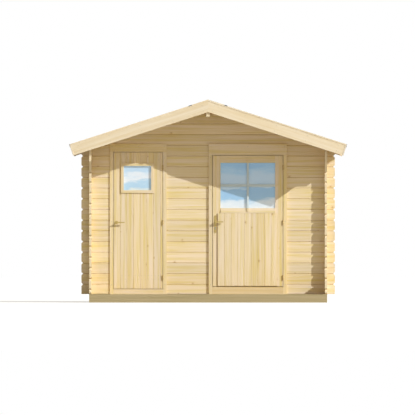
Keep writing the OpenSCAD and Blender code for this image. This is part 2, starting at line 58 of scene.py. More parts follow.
# Camera: the shed is seen square on from far away, as in a catalogue view.
# The ground line lies low in a square frame that covers a little over five metres.
frame_width = 5.227
camera_distance, off_middle, eye_height = 235.0, -0.008, 1.198
camera_data = bpy.data.cameras.new("camera")
camera_data.sensor_width = 36.0
camera_data.lens = camera_data.sensor_width * camera_distance / frame_width
camera_data.clip_end = 2.5 * camera_distance
camera = bpy.data.objects.new("camera", camera_data)
camera.location = (off_middle, cad_box[0][1] - camera_distance, eye_height)
camera.rotation_euler = (math.radians(90), 0, 0)
bpy.context.collection.objects.link(camera)
bpy.context.scene.camera = camera
bpy.context.scene.view_settings.view_transform = "Standard"

# Light: a low sun from the front right and a soft surround, brighter on the sun's side and towards
# the ground. The surround shows white to the camera, in gloss and through glass.
sun_rays = Vector((-1.70, 1.0, -1.20))
sun_data = bpy.data.lights.new("sun", "SUN")
sun_data.energy = 3.6
sun_data.angle = math.radians(0.4)
sun_data.color = (0.94, 1.0, 1.09)
sun = bpy.data.objects.new("sun", sun_data)
sun.rotation_euler = sun_rays.to_track_quat("-Z", "Y").to_euler()
bpy.context.collection.objects.link(sun)


def linear(code):
    """Linear RGBA of an sRGB hex colour."""
    parts = [int(code[i:i + 2], 16) / 255 for i in (1, 3, 5)]
    return tuple(c / 12.92 if c < 0.04045 else ((c + 0.055) / 1.055) ** 2.4 for c in parts) + (1.0,)


def add(tree, kind, inputs=(), out=0, **settings):
    """Adds a node and returns one of its outputs. Inputs are in order or keyed by name or number,
    and each is a constant, a hex colour or a socket to link from."""
    made = tree.nodes.new(kind)
    for key, value in settings.items():
        setattr(made, key, value)
    for key, value in inputs.items() if isinstance(inputs, dict) else enumerate(inputs):
        if isinstance(value, bpy.types.NodeSocket):
            tree.links.new(value, made.inputs[key])
        else:
            made.inputs[key].default_value = linear(value) if isinstance(value, str) else value
    return made.outputs[out] if made.outputs else None


MATH, RANGE = "ShaderNodeMath", "ShaderNodeMapRange"
COORDS, SPLIT = "ShaderNodeTexCoord", "ShaderNodeSeparateXYZ"
shady_side, sunny_side = 0.14, 0.96
level_at_ground, level_lost_above = 1.20, 0.60
world = bpy.data.worlds.new("surround")
world.use_nodes = True
surround = world.node_tree
surround.nodes.clear()
ray = add(surround, "ShaderNodeLightPath").node.outputs
seen = add(surround, MATH, (ray["Is Camera Ray"], ray["Is Glossy Ray"]), operation="MAXIMUM")
seen = add(surround, MATH, (seen, ray["Is Transmission Ray"]), operation="MAXIMUM")
sideways = add(surround, SPLIT, (add(surround, COORDS, out="Generated"),))
level = add(surround, RANGE, {"Value": sideways, "From Min": -1.0, "From Max": 1.0,
    "To Min": shady_side, "To Max": sunny_side})
upward = add(surround, MATH, (sideways.node.outputs["Z"], 0.0), operation="MAXIMUM")
upward = add(surround, MATH, (upward, -level_lost_above, level_at_ground), operation="MULTIPLY_ADD")
level = add(surround, MATH, (level, upward), operation="MULTIPLY")
fill = add(surround, "ShaderNodeBackground", {"Color": (1.0, 0.94, 0.84, 1.0), "Strength": level})
white = add(surround, "ShaderNodeBackground", {"Color": (1.0, 1.0, 1.0, 1.0), "Strength": 1.0})
add(surround, "ShaderNodeOutputWorld", (add(surround, "ShaderNodeMixShader", (seen, fill, white)),))
bpy.context.scene.world = world

# Floor: a plain pale sheet that the shed stands on, no part of it.
# It goes to white in the camera and keeps the shed's shadow.
half_floor, camera_lift = 80.0, 0.55
floor_mesh = bpy.data.meshes.new("studio_floor")
floor_mesh.from_pydata([(x * half_floor, y * half_floor, 0) for x, y in ((-1, -1), (1, -1), (1, 1), (-1, 1))],
    [], [(0, 1, 2, 3)])
floor = bpy.data.objects.new("studio_floor", floor_mesh)
bpy.context.collection.objects.link(floor)


def blank(name):
    """A new material and its empty node tree."""
    material = bpy.data.materials.new(name)
    material.use_nodes = True
    material.node_tree.nodes.clear()
    return material, material.node_tree


pale_floor, tree = blank("pale_floor")
matt = add(tree, "ShaderNodeBsdfDiffuse", {"Color": "#C6C3BC"})
lift = add(tree, "ShaderNodeLightPath", out="Is Camera Ray")
lift = add(tree, MATH, (lift, camera_lift), operation="MULTIPLY")
glow = add(tree, "ShaderNodeEmission", {"Strength": lift})
add(tree, "ShaderNodeOutputMaterial", (add(tree, "ShaderNodeAddShader", (matt, glow)),))
floor_mesh.materials.append(pale_floor)

# Foundation: sawn softwood beams, pressure-treated to an olive brown and laid flat on the ground.
# Front and back beams run the full width, with two side beams and five joists butted between them.
# Boards nailed over the joists' front ends make a shallow porch.
X, Y, Z = 0, 1, 2
VECTOR, JOIN = "ShaderNodeVectorMath", "ShaderNodeCombineXYZ"
# A mix takes its inputs by number: 0 is the share, 2 and 3 are two numbers, 6 and 7 two colours.
MIX = "ShaderNodeMix"


def grain(tree, pale, deep, late, knot, cut, along, across, board, start, third_start=0.0, turn=0.0,
          ring=0.011, knots=0.2, rough=0.62, figure=0.36, shift=0.07, seam=0.0, seed=1):
    """Colour, relief and roughness of sawn softwood. along and across are the grain's way and the way
    that boards of one width follow each other from start. turn is the grain's slope about Y."""
    place = add(tree, COORDS, out="Object")
    normal = place.node.outputs["Normal"]
    turned = add(tree, SPLIT, (add(tree, "ShaderNodeMapping", {"Vector": place, "Rotation": (0, turn, 0)}),))
    u, v, w = (turned.node.outputs[i] for i in (along, across, 3 - along - across))

    # Every board is cut from another place in the trunk.
    trunk_length, seed_step = 9.0, 17.31
    rank = add(tree, MATH, (v, 1 / board, -start / board), operation="MULTIPLY_ADD")
    index = add(tree, MATH, (add(tree, MATH, (rank,), operation="FLOOR"), seed * seed_step), operation="ADD")
    draw = add(tree, "ShaderNodeTexWhiteNoise", {"W": index}, out="Color", noise_dimensions="1D")
    drawn = add(tree, "ShaderNodeSeparateColor", (draw,)).node.outputs
    moved = add(tree, MATH, (drawn[0], trunk_length, u), operation="MULTIPLY_ADD")
    trunk = add(tree, JOIN, (moved, v, w))

    # Knots: one in every one or two metres of board, 6 to 20 mm across and a little longer along
    # the grain. The core and the halo around it fade between two distances, in knot radii.
    knot_reach, knot_squeeze = 0.40, 0.8
    least_radius, radius_spread = 0.003, 0.007
    core_fade, halo_fade = (1.15, 0.85), (3.4, 1.0)
    cell = add(tree, JOIN, (add(tree, MATH, (moved, 1 / knot_reach), operation="MULTIPLY"), rank))
    spots = add(tree, "ShaderNodeTexVoronoi", {"Vector": cell, "Scale": 1.0, "Randomness": 0.9},
        voronoi_dimensions="2D", feature="F1").node.outputs
    gap = add(tree, VECTOR, (cell, spots["Position"]), operation="SUBTRACT")
    gap = add(tree, VECTOR, (gap, (knot_reach * knot_squeeze, board, 0.0)), operation="MULTIPLY")
    span = add(tree, VECTOR, (gap,), out="Value", operation="LENGTH")
    spot = add(tree, "ShaderNodeSeparateColor", (spots["Color"],)).node.outputs
    near = add(tree, MATH, (spot[0], radius_spread, least_radius), operation="MULTIPLY_ADD")
    near = add(tree, MATH, (span, near), operation="DIVIDE")
    shown = add(tree, MATH, (spot[1], knots), operation="LESS_THAN")
    core, halo = (add(tree, MATH, (shown, add(tree, RANGE, (near, far, close),
        interpolation_type="SMOOTHSTEP")), operation="MULTIPLY") for far, close in (core_fade, halo_fade))

    # Three noises stretched along the grain, in waves a metre along and across it: how the rings
    # drift, fibres of about 2 mm, and streaks of tone about 30 mm wide.
    drift, fibre, streak = (add(tree, "ShaderNodeTexNoise", {"Vector": add(tree, VECTOR,
        (trunk, (waves_along, waves_across, waves_across)), operation="MULTIPLY"), "Scale": 1.0,
        "Detail": detail, "Roughness": 0.6})
        for waves_along, waves_across, detail in ((0.9, 5.0, 1.5), (9.0, 520.0, 2.0), (1.1, 30.0, 3.0)))

    # Growth rings: long flames, drawn wider than the real 2 to 4 mm so that they show.
    ring_slant, drift_reach, knot_push, line_from = 0.5, 0.16, 0.016, 0.1
    field = add(tree, MATH, (w, ring_slant, v), operation="MULTIPLY_ADD")
    for amount, share in ((drift, drift_reach), (halo, knot_push)):
        field = add(tree, MATH, (amount, share, field), operation="MULTIPLY_ADD")
    wave = add(tree, MATH, (field, 2 * math.pi / ring), operation="MULTIPLY")
    wave = add(tree, MATH, (wave,), operation="SINE")
    line = add(tree, RANGE, (wave, line_from, 1.0), interpolation_type="SMOOTHSTEP")

    # Tone: streaks from pale to deep. Each board has its own warmth and brightness, and the late wood
    # of the rings, the fibres and the knots darken it by the shares given.
    streak_from, streak_to = 0.35, 0.66
    least_warmth, warmth_spread = 0.93, 0.16
    fibre_share, halo_share, core_share, seam_share = 0.16, 0.36, 0.4, 0.5
    tone = add(tree, MIX, {0: add(tree, RANGE, (streak, streak_from, streak_to)), 6: pale, 7: deep}, out=2,
        data_type="RGBA")
    colour = add(tree, "ShaderNodeHueSaturation", {"Color": tone,
        "Saturation": add(tree, MATH, (drawn[2], warmth_spread, least_warmth), operation="MULTIPLY_ADD"),
        "Value": add(tree, MATH, (drawn[1], 2 * shift, 1 - shift), operation="MULTIPLY_ADD")})
    layers = [(line, figure, late), (fibre, fibre_share, late), (halo, halo_share, late),
        (core, core_share, knot)]

    # Painted shade in the V between two boards: each joint is darkened towards the knot colour.
    if seam:
        edge = add(tree, MATH, (rank, 0.5), operation="PINGPONG")
        layers.append((add(tree, RANGE, (edge, seam / board, seam * 0.5 / board)), seam_share, knot))
    for amount, share, other in layers:
        amount = add(tree, MATH, (amount, share), operation="MULTIPLY")
        colour = add(tree, MIX, {0: amount, 6: colour, 7: other}, out=2, data_type="RGBA")

    # End grain: faces across the grain show arcs of rings 5 mm apart, round a heart outside the board.
    end_facing, heart_depth, arc_step, arc_drift, arc_share = 0.6, 0.05, 0.005, 0.01, 0.16
    facing = add(tree, SPLIT, (add(tree, "ShaderNodeMapping", {"Vector": normal, "Rotation": (0, turn, 0)}),))
    end = add(tree, MATH, (facing.node.outputs[along],), operation="ABSOLUTE")
    end = add(tree, MATH, (end, end_facing), operation="GREATER_THAN")
    side = add(tree, MATH, (add(tree, MATH, (rank,), operation="FRACT"), drawn[0]), operation="SUBTRACT")
    side = add(tree, MATH, (side, board), operation="MULTIPLY")
    heart = add(tree, MATH, (w, heart_depth - third_start), operation="ADD")
    arc = add(tree, VECTOR, (add(tree, JOIN, (side, heart)),), out="Value", operation="LENGTH")
    arc = add(tree, MATH, (drift, arc_drift, arc), operation="MULTIPLY_ADD")
    arc = add(tree, MATH, (arc, 2 * math.pi / arc_step), operation="MULTIPLY")
    arc = add(tree, MATH, (arc,), operation="SINE")
    arc = add(tree, MATH, (arc, arc_share, arc_share), operation="MULTIPLY_ADD")
    rings = add(tree, MIX, {0: arc, 6: cut, 7: late}, out=2, data_type="RGBA")
    colour = add(tree, MIX, {0: end, 6: colour, 7: rings}, out=2, data_type="RGBA")

    # The plane leaves fibres raised and the hard late wood a little low. Rough fibres are duller.
    fibre_rise, line_fall, knot_rise, dullness = 0.5, 0.35, 0.4, 0.16
    relief = add(tree, MATH, (fibre, fibre_rise), operation="MULTIPLY")
    relief = add(tree, MATH, (line, -line_fall, relief), operation="MULTIPLY_ADD")
    relief = add(tree, MATH, (core, knot_rise, relief), operation="MULTIPLY_ADD")
    return colour, relief, add(tree, MATH, (fibre, dullness, rough - dullness / 2), operation="MULTIPLY_ADD")


def timber(name, rails=None, **wood):
    """A softwood finish. rails = (middle x, half width, middle z, half height) turns the grain level
    between two stiles, up to a straight joint, or to mitres where a half height is given."""
    material, tree = blank(name)
    colour, relief, dull = grain(tree, **wood)
    if rails:
        joint_half, joint_share = 0.0007, 0.4
        at = add(tree, SPLIT, (add(tree, COORDS, out="Object"),)).node.outputs
        past = [add(tree, MATH, (add(tree, MATH, (add(tree, MATH, (at[i], rails[i]), operation="SUBTRACT"),),
            operation="ABSOLUTE"), rails[i + 1]), operation="SUBTRACT") for i in (0, 2)]
        past = add(tree, MATH, (past[0], past[1] if rails[3] else 0.0), operation="SUBTRACT")
        level = add(tree, MATH, (past, 0.0), operation="LESS_THAN")
        level_wood = dict(wood, along=X, across=Z, board=0.7, start=-0.3, seed=wood["seed"] + 40)
        level_colour, level_relief, _ = grain(tree, **level_wood)
        colour = add(tree, MIX, {0: level, 6: colour, 7: level_colour}, out=2, data_type="RGBA")
        joint = add(tree, MATH, (past,), operation="ABSOLUTE")
        joint = add(tree, MATH, (joint, joint_half), operation="LESS_THAN")
        joint = add(tree, MATH, (joint, joint_share), operation="MULTIPLY")
        colour = add(tree, MIX, {0: joint, 6: colour, 7: wood["knot"]}, out=2, data_type="RGBA")
        relief = add(tree, MIX, {0: level, 2: relief, 3: level_relief}, data_type="FLOAT")
    bump = add(tree, "ShaderNodeBump", {"Height": relief, "Strength": 0.35, "Distance": 0.0012})
    skin = add(tree, "ShaderNodeBsdfPrincipled", {"Base Color": colour, "Roughness": dull,
        "Normal": bump, "Specular IOR Level": 0.3, "IOR": 1.5})
    add(tree, "ShaderNodeOutputMaterial", (skin,))
    return material


def paint(material, *names):
    """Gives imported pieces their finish."""
    for name in names:
        for part in frame["nodes"][name].material_slots:
            part.material = material


# Treated softwood: dull and rough from the saw, olive brown from the salts, with more knots.
# A single timber counts as one board, wider than any of them, so that it shows no joint.
treated = dict(pale="#C4B08A", deep="#AF9E74", late="#97865B", knot="#5E4E33", cut="#A39872",
    figure=0.5, knots=0.4, rough=0.78, ring=0.012)
single = 0.5
beam_low, beam_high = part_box("foundation_front_beam")
joist_wide, joist_spaces = 0.045, 6
joist_pitch = (beam_high[0] - beam_low[0] - joist_wide) / joist_spaces
deck_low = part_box("porch_boards")[0]
deck_board, deck_gap = 0.095, 0.006
paint(timber("treated_beam", along=X, across=Z, board=single, start=-0.2, third_start=beam_low[1], seed=3,
    **treated), "foundation_front_beam", "foundation_back_beam")
paint(timber("treated_joist", along=Y, across=X, board=joist_pitch, start=beam_low[0] - joist_pitch / 2,
    seed=4, **treated), "foundation_joists")
paint(timber("treated_deck", along=X, across=Y, board=deck_board + deck_gap, start=deck_low[1] - deck_gap / 2,
    third_start=deck_low[2], seed=44, **treated), "porch_boards")

# Log walls: spruce logs, 28 mm thick and 135 mm high, planed and left bare. They interlock at the
# corners, and every log is a tree of its own, so tone, flame and knots change from course to course.
# Bare spruce is a pale cream with straw-yellow streaks and small brown knots.
spruce = dict(pale="#F3DFC2", deep="#E6D08F", late="#D3B075", knot="#A87A48", cut="#EFDCB6")
course, whole_courses, log_seam = 0.135, 14, 0.0035
first_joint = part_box("front_gable")[0][2] - whole_courses * course
front_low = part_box("front_wall_left")[0]
paint(timber("spruce_front_logs", along=X, across=Z, board=course, start=first_joint,
    third_start=front_low[1], seam=log_seam, seed=5, **spruce),
    "front_wall_left", "front_wall_middle", "front_wall_right", "front_gable", "back_wall")
paint(timber("spruce_side_logs", along=Y, across=Z, board=course, start=first_joint - course / 2,
    third_start=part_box("left_wall")[0][0], seam=log_seam, seed=8, **spruce), "left_wall", "right_wall")

# Roof timber: a ridge purlin on edge, tongued boards nailed from ridge to eave, and planed barge and
# eave boards, paler than the logs. The boards hang over the front by more than half a metre, so their
# undersides show.
planed = dict(spruce, pale="#F6E6C8", deep="#ECD6AC")
ridge_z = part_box("ridge_purlin")[1][2]
roof_low, roof_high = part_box("roof_felt")
roof_pitch = math.radians(17.8)
roof_board, roof_board_thick, board_seam = 0.096, 0.016, 0.002
barge_start = ridge_z - 0.4
paint(timber("spruce_purlin", along=Y, across=Z, board=single, start=2.2, third_start=-0.02, seed=11,
    **spruce), "ridge_purlin")
for side, way in (("left", 1), ("right", -1)):
    paint(timber("spruce_roof_boards_" + side, along=X, across=Y, board=roof_board, start=roof_low[1],
        third_start=ridge_z, turn=way * roof_pitch, seam=board_seam, seed=12 + way, **spruce),
        "roof_boards_" + side)
    paint(timber("spruce_barge_" + side, along=X, across=Z, board=single, start=barge_start,
        third_start=roof_low[1], turn=way * roof_pitch, seed=15 + way, shift=0.03, **planed),
        "front_barge_" + side, "back_barge_" + side)
    paint(timber("spruce_eave_" + side, along=Y, across=Z, board=single, start=1.7,
        third_start=roof_low[0] * way, seed=18 + way, shift=0.03, **spruce), "eave_board_" + side)


def on_slope(side, along, above, y):
    """A point on a roof slope: distance down from the ridge, height above the boards' underside, and y."""
    c, s = math.cos(roof_pitch), math.sin(roof_pitch)
    return Vector((side * (along * c + above * s), y, ridge_z - along * s + above * c))


def extruded(bm, outline, offset):
    """Adds the solid that an outline, a list of points, sweeps along an offset."""
    near = [bm.verts.new(p) for p in outline]
    far = [bm.verts.new(Vector(p) + Vector(offset)) for p in outline]
    faces = [bm.faces.new(near), bm.faces.new(list(reversed(far)))]
    for i in range(len(near)):
        j = (i + 1) % len(near)
        faces.append(bm.faces.new((near[j], near[i], far[i], far[j])))
    bmesh.ops.recalc_face_normals(bm, faces=faces)


def strip(bm, side, y, length, *section):
    """Adds a strip on a roof slope that runs on from y. Its section is a list of (along, above)."""
    extruded(bm, [on_slope(side, along, above, y) for along, above in section], (0, length, 0))


def finished(name, bm, material, body, bevel=0.0):
    """Turns a bmesh into a piece that rides on a body, with its edges eased where a bevel is given."""
    if bevel:
        sharp_from = 0.6
        sharp = [e for e in bm.edges if e.calc_face_angle(0) > sharp_from]
        bmesh.ops.bevel(bm, geom=sharp, offset=bevel, segments=2, affect="EDGES", clamp_overlap=True)
    mesh = bpy.data.meshes.new(name)
    bm.to_mesh(mesh)
    bm.free()
    mesh.materials.clear()
    mesh.materials.append(material)
    piece = bpy.data.objects.new(name, mesh)
    bpy.context.collection.objects.link(piece)
    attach(piece, body)


# A planed lath, the palest wood on the roof, covers the end of each barge board and drops just below it.
felt_thick = 0.003
lath_wide, lath_deep, lath_thick = 0.016, 0.133, 0.003
slope_length = (roof_high[0] - (roof_board_thick + felt_thick) * math.sin(roof_pitch)) / math.cos(roof_pitch)
lath_end = slope_length - lath_wide
gable_ends = ((roof_low[1], -lath_thick), (roof_high[1], lath_thick))
for side, name in ((-1, "left"), (1, "right")):
    laths = bmesh.new()
    for y, thick in gable_ends:
        strip(laths, side, y, thick, (lath_end, -lath_deep), (slope_length, -lath_deep),
            (slope_length, roof_board_thick), (lath_end, roof_board_thick))
    finished("barge_end_laths_" + name, laths, timber("spruce_lath_" + name, along=Z, across=X, board=single,
        start=-0.2, turn=-side * roof_pitch, third_start=roof_low[1], seed=47 + side, knots=0.0, shift=0.02,
        **dict(planed, pale="#F4E9D6", deep="#E9DBC2")), "root", bevel=0.0008)

# Roofing felt: bitumen felt with slate granules, 3 mm thick, in metre-wide strips from ridge to eave.
# The strips lap over each other and fold down over the eave boards, where clout nails hold them.
# Slim cover laths close the cut edges along the barge boards, and the ridge strip's corners fold over them.

# Crushed slate pressed into bitumen is matt and nearly black, with a few pale grains. They measure 1 to
# 2 mm and are drawn at 3 mm so that they show.
slate_grain = 0.003
granulated, tree = blank("granulated_bitumen_felt")
place = add(tree, COORDS, out="Object")
grains = add(tree, "ShaderNodeTexVoronoi", {"Vector": place, "Scale": 1 / slate_grain}).node.outputs
patches = add(tree, "ShaderNodeTexNoise", {"Vector": place, "Scale": 3.0, "Detail": 4.0})
slate = add(tree, "ShaderNodeValToRGB", (add(tree, "ShaderNodeSeparateColor", (grains["Color"],)),))
tones = slate.node.color_ramp.elements
tones[0].color, tones[1].color = linear("#3B3D3F"), linear("#8B8D8C")
for at, code in ((0.45, "#55585A"), (0.88, "#646769")):
    tones.new(at).color = linear(code)
tone = add(tree, RANGE, {"Value": patches, "From Min": 0.3, "From Max": 0.7, "To Min": 0.82, "To Max": 1.08})
colour = add(tree, "ShaderNodeHueSaturation", {"Color": slate, "Value": tone})
bump = add(tree, "ShaderNodeBump", {"Height": grains["Distance"], "Strength": 0.7, "Distance": 0.0015},
    invert=True)
add(tree, "ShaderNodeOutputMaterial", (add(tree, "ShaderNodeBsdfPrincipled", {"Base Color": colour,
    "Roughness": 0.92, "Normal": bump, "Specular IOR Level": 0.25}),))
paint(granulated, "roof_felt", "ridge_felt")

felt_top = roof_board_thick + felt_thick
ridge_top = felt_top + felt_thick
ridge_strip = (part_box("ridge_felt")[1][0] - ridge_top * math.sin(roof_pitch)) / math.cos(roof_pitch)
strip_wide, lap_thick, lap_gap = 1.0, 0.0025, 0.001
fold_down, fold_ease = 0.045, 0.002
lip_long, lip_deep, lip_thick = 0.040, 0.008, 0.0015
roof_middle, roof_long = (roof_low[1] + roof_high[1]) / 2, roof_high[1] - roof_low[1]
lap_start, fold_out = ridge_strip + lap_gap, slope_length + felt_thick
laps, lips = bmesh.new(), bmesh.new()
for side in (-1, 1):
    strip(laps, side, roof_middle - strip_wide / 2, strip_wide, (lap_start, felt_top),
        (slope_length, felt_top), (slope_length, felt_top + lap_thick), (lap_start, felt_top + lap_thick))
    strip(laps, side, roof_low[1], roof_long, (slope_length, felt_top),
        (slope_length, felt_top - fold_down), (fold_out, felt_top - fold_down),
        (fold_out, felt_top - fold_ease), (slope_length + lap_gap, felt_top))
    strip(lips, side, roof_low[1] - lath_thick, -lip_thick, (ridge_strip - lip_long, ridge_top),
        (ridge_strip, ridge_top), (ridge_strip, ridge_top - lip_deep),
        (ridge_strip - lip_long, ridge_top - lip_deep))
finished("felt_laps_and_folds", laps, granulated, "root")
finished("ridge_strip_lips", lips, granulated, "root")

cover_deep = 0.016
cover_low = felt_top - cover_deep
for side, name in ((-1, "left"), (1, "right")):
    covers = bmesh.new()
    for y, thick in gable_ends:
        strip(covers, side, y, thick, (-cover_low * math.tan(roof_pitch), cover_low),
            (-ridge_top * math.tan(roof_pitch), ridge_top), (ridge_strip, ridge_top), (ridge_strip, felt_top),
            (lath_end, felt_top), (lath_end, cover_low))
    finished("felt_cover_laths_" + name, covers, timber("spruce_cover_" + name, along=X, across=Z,
        board=single, start=barge_start, third_start=roof_low[1], turn=-side * roof_pitch, seed=51 + side,
        knots=0.0, shift=0.02, **planed), "root")

# Door frames: planed spruce posts with stops, a head board over each door and a sill between the posts,
# of darker larch under the right door. Casings lap over the logs on both faces and hold it all in place.
paint(timber("spruce_posts", along=Z, across=X, board=single, start=-1.5, third_start=front_low[1],
    seed=21, **spruce), "left_lock_post", "left_hinge_post", "right_lock_post", "right_hinge_post")
paint(timber("spruce_heads", along=X, across=Z, board=single, start=1.7, third_start=front_low[1], seed=22,
    shift=0.04, **spruce), "left_head", "right_head", "left_sill")
paint(timber("larch_sill", along=X, across=Z, board=single, start=1.7, third_start=front_low[1], seed=23,
    shift=0.04, **dict(spruce, pale="#E7D2AA", deep="#DAC18D")), "right_sill")

# Left leaf: upright tongued spruce boards, nailed from the front to three ledges behind them.
# A small fixed window sits in a mitred trim near the top.
leaf_low, leaf_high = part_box("left_leaf_boards")
ledge_low, ledge_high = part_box("left_leaf_ledges")
door_board, first_board, door_seam = 0.084, 0.079, 0.0018
paint(timber("spruce_left_boards", along=Z, across=X, board=door_board,
    start=leaf_low[0] + first_board - door_board, third_start=leaf_low[1], seam=door_seam, seed=27, **spruce),
    "left_leaf_boards")
paint(timber("spruce_ledges", along=X, across=Z, board=0.4, start=0.0, third_start=leaf_high[1], seed=29,
    **spruce), "left_leaf_ledges")
trim_low, trim_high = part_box("left_window_trim")
pane_low, pane_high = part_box("left_window_glass")
paint(timber("spruce_window_trim", along=Z, across=X, board=0.25, start=trim_low[0] - 0.05,
    third_start=trim_low[1], seed=31, shift=0.03,
    rails=((trim_low[0] + trim_high[0]) / 2, (pane_high[0] - pane_low[0]) / 2,
    (trim_low[2] + trim_high[2]) / 2, (pane_high[2] - pane_low[2]) / 2), **spruce), "left_window_trim")

# Right leaf: spruce stiles and rails 40 mm thick, tenoned together and half glazed, with upright boards
# planted on the lower half. A cross of slim bars is planted over the glass, and a weathered bead under
# it sheds the rain.
frame_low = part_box("right_leaf_frame")[0]
clad_low, clad_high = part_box("right_leaf_cladding")
beads_low, beads_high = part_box("right_glazing_beads")
bead_inset = 0.0085
light_low, light_high = beads_low[0] + bead_inset, beads_high[0] - bead_inset
light_bottom, light_top = beads_low[2] + bead_inset, beads_high[2] - bead_inset
light_x, light_z = (light_low + light_high) / 2, (light_bottom + light_top) / 2
half_light = (light_high - light_low) / 2
paint(timber("spruce_stiles_and_rails", along=Z, across=X, board=single, start=-0.1, third_start=frame_low[1],
    seed=33, shift=0.03, rails=(light_x, half_light, 0.0, 0.0), **spruce), "right_leaf_frame")
paint(timber("spruce_beads", along=Z, across=X, board=single, start=-0.1, third_start=beads_low[1], seed=35,
    shift=0.03, rails=(light_x, half_light, light_z, (light_top - light_bottom) / 2), **spruce),
    "right_glazing_beads")
clad_boards = round((clad_high[0] - clad_low[0]) / door_board)
clad_first = (clad_high[0] - clad_low[0] - (clad_boards - 2) * door_board) / 2
clad_start = clad_low[0] + clad_first - door_board
paint(timber("spruce_cladding", along=Z, across=X, board=door_board, start=clad_start,
    third_start=clad_low[1], seam=door_seam, seed=37, **spruce), "right_leaf_cladding")


def block(bm, low, high):
    """Adds a block between two corners."""
    (x0, y0, z0), (x1, y1, z1) = low, high
    extruded(bm, [(x0, y0, z0), (x1, y0, z0), (x1, y0, z1), (x0, y0, z1)], (0, y1 - y0, 0))


# The cross is coloured a pale grey that lets the grain through faintly, a painted reflection of the sky over
# the bars, and its four feet on the frame show the bare spruce.
bar_thick, bar_lap, bar_upright, bar_level, bar_edge = 0.008, 0.034, 0.028, 0.032, 0.003
foot_thick, bead_out, bead_nose, bead_gap, bead_edge = 0.016, 0.014, 0.008, 0.001, 0.0015
bead_drop = light_bottom - clad_high[2] - bead_gap
leaf_face, left_of_bar, right_of_bar = frame_low[1], light_x - bar_upright / 2, light_x + bar_upright / 2
# These grey tones are painted reflection on spruce, not a lacquer.
painted_reflection_grey = dict(spruce, pale="#DEE9E9", deep="#CEDBDC", late="#B8C2C0", knot="#8A8F8B", cut="#B6C2C2")
bars = bmesh.new()
block(bars, (left_of_bar, leaf_face - bar_thick, light_bottom), (right_of_bar, leaf_face, light_top))
finished("crossbar_upright", bars, timber("grey_bar_upright", along=Z, across=X, board=single, start=0.2,
    third_start=leaf_face, seed=38, **painted_reflection_grey), "right_leaf", bevel=bar_edge)
bars = bmesh.new()
for start, end in ((light_low, left_of_bar), (right_of_bar, light_high)):
    block(bars, (start, leaf_face - bar_thick, light_z - bar_level / 2),
        (end, leaf_face, light_z + bar_level / 2))
finished("crossbar_arms", bars, timber("grey_bar_arms", along=X, across=Z, board=single, start=1.2,
    third_start=leaf_face, seed=39, **painted_reflection_grey), "right_leaf", bevel=bar_edge)
feet = bmesh.new()
for low, high in ((light_bottom - bar_lap - bead_nose, light_bottom), (light_top, light_top + bar_lap)):
    block(feet, (left_of_bar, leaf_face - foot_thick, low), (right_of_bar, leaf_face, high))
for low, high in ((light_low - bar_lap, light_low), (light_high, light_high + bar_lap)):
    block(feet, (low, leaf_face - bar_thick, light_z - bar_level / 3),
        (high, leaf_face, light_z + bar_level / 3))
finished("crossbar_feet", feet, timber("spruce_bar_feet", along=Z, across=X, board=single, start=0.2,
    third_start=leaf_face, seed=40, **spruce), "right_leaf")
bead = bmesh.new()
extruded(bead, [(light_low, leaf_face - out, light_bottom - drop) for out, drop in ((0, bead_drop),
    (bead_out, bead_drop), (bead_out, bead_drop - bead_nose), (0, 0))], (light_high - light_low, 0, 0))
finished("weathered_bead", bead, timber("spruce_weathered_bead", along=X, across=Z, board=single, start=1.0,
    third_start=leaf_face, seed=36, **spruce), "right_leaf", bevel=bead_edge)

# Floor boards: tongued spruce, planed on top and left bare.
# They run along the front and are nailed to the joists.
floor_low, floor_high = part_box("floor_boards")
floor_board = 0.095
paint(timber("spruce_floor", along=X, across=Y, board=floor_board, start=floor_low[1],
    third_start=floor_low[2], seam=board_seam, seed=41, **spruce), "floor_boards")


# Windows: float glass, 4 mm thick, held by the trim of the left leaf and the beads of the right. A bright
# sky is painted in the panes as a painted reflection. It shows from both sides and hides most of what lies
# behind.
def float_glass(name, lean, *sky):
    """Smooth glass with a painted reflection of a sky in its colour, not mirrored: bands of cloud and blue,
    given as heights and colours from the sill up, that drift out of level. lean tips them. It lets a tenth of
    the light by."""
    material, tree = blank(name)
    drift = 0.30
    place = add(tree, COORDS, out="Object")
    drawn = add(tree, "ShaderNodeMapping", {"Vector": place, "Rotation": (0, lean, 0),
        "Scale": (1.6, 1.0, 5.0)})
    clouds = add(tree, "ShaderNodeTexNoise", {"Vector": drawn, "Scale": 2.2, "Detail": 5.0, "Roughness": 0.6})
    tipped = add(tree, SPLIT, (add(tree, "ShaderNodeMapping", {"Vector": place, "Rotation": (0, lean, 0)}),))
    height = add(tree, MATH, (clouds, drift, tipped.node.outputs[Z]), operation="MULTIPLY_ADD")
    low, high = sky[0][0], sky[-1][0]
    height = add(tree, RANGE, {"Value": height, "From Min": low + drift / 2, "From Max": high + drift / 2})
    bands = add(tree, "ShaderNodeValToRGB", (height,))
    stops = bands.node.color_ramp.elements
    stops[0].color, stops[1].color = linear(sky[0][1]), linear(sky[-1][1])
    for at, code in sky[1:-1]:
        stops.new((at - low) / (high - low)).color = linear(code)
    add(tree, "ShaderNodeOutputMaterial", (add(tree, "ShaderNodeBsdfPrincipled", {"Base Color": bands,
        "Metallic": 0.15, "Roughness": 0.04, "IOR": 1.5, "Transmission Weight": 0.12}),))
    return material


paint(float_glass("float_glass_left", 0.05, (1.43, "#F4F5EA"), (1.50, "#BEE0F5"), (1.56, "#C4E4F7"),
    (1.60, "#F6FBFE"), (1.64, "#EEF8FE"), (1.69, "#CBE6FA")), "left_window_glass")
paint(float_glass("float_glass_right", 0.03, (1.18, "#F6FCFE"), (1.245, "#EAF6FC"), (1.305, "#ACD4F0"),
    (1.40, "#A6CFF0"), (1.44, "#D4EAF8"), (1.50, "#CBE4F7"), (1.58, "#C9E3F8"), (1.64, "#B6DCF8"),
    (1.70, "#A4D0F4")), "right_window_glass")


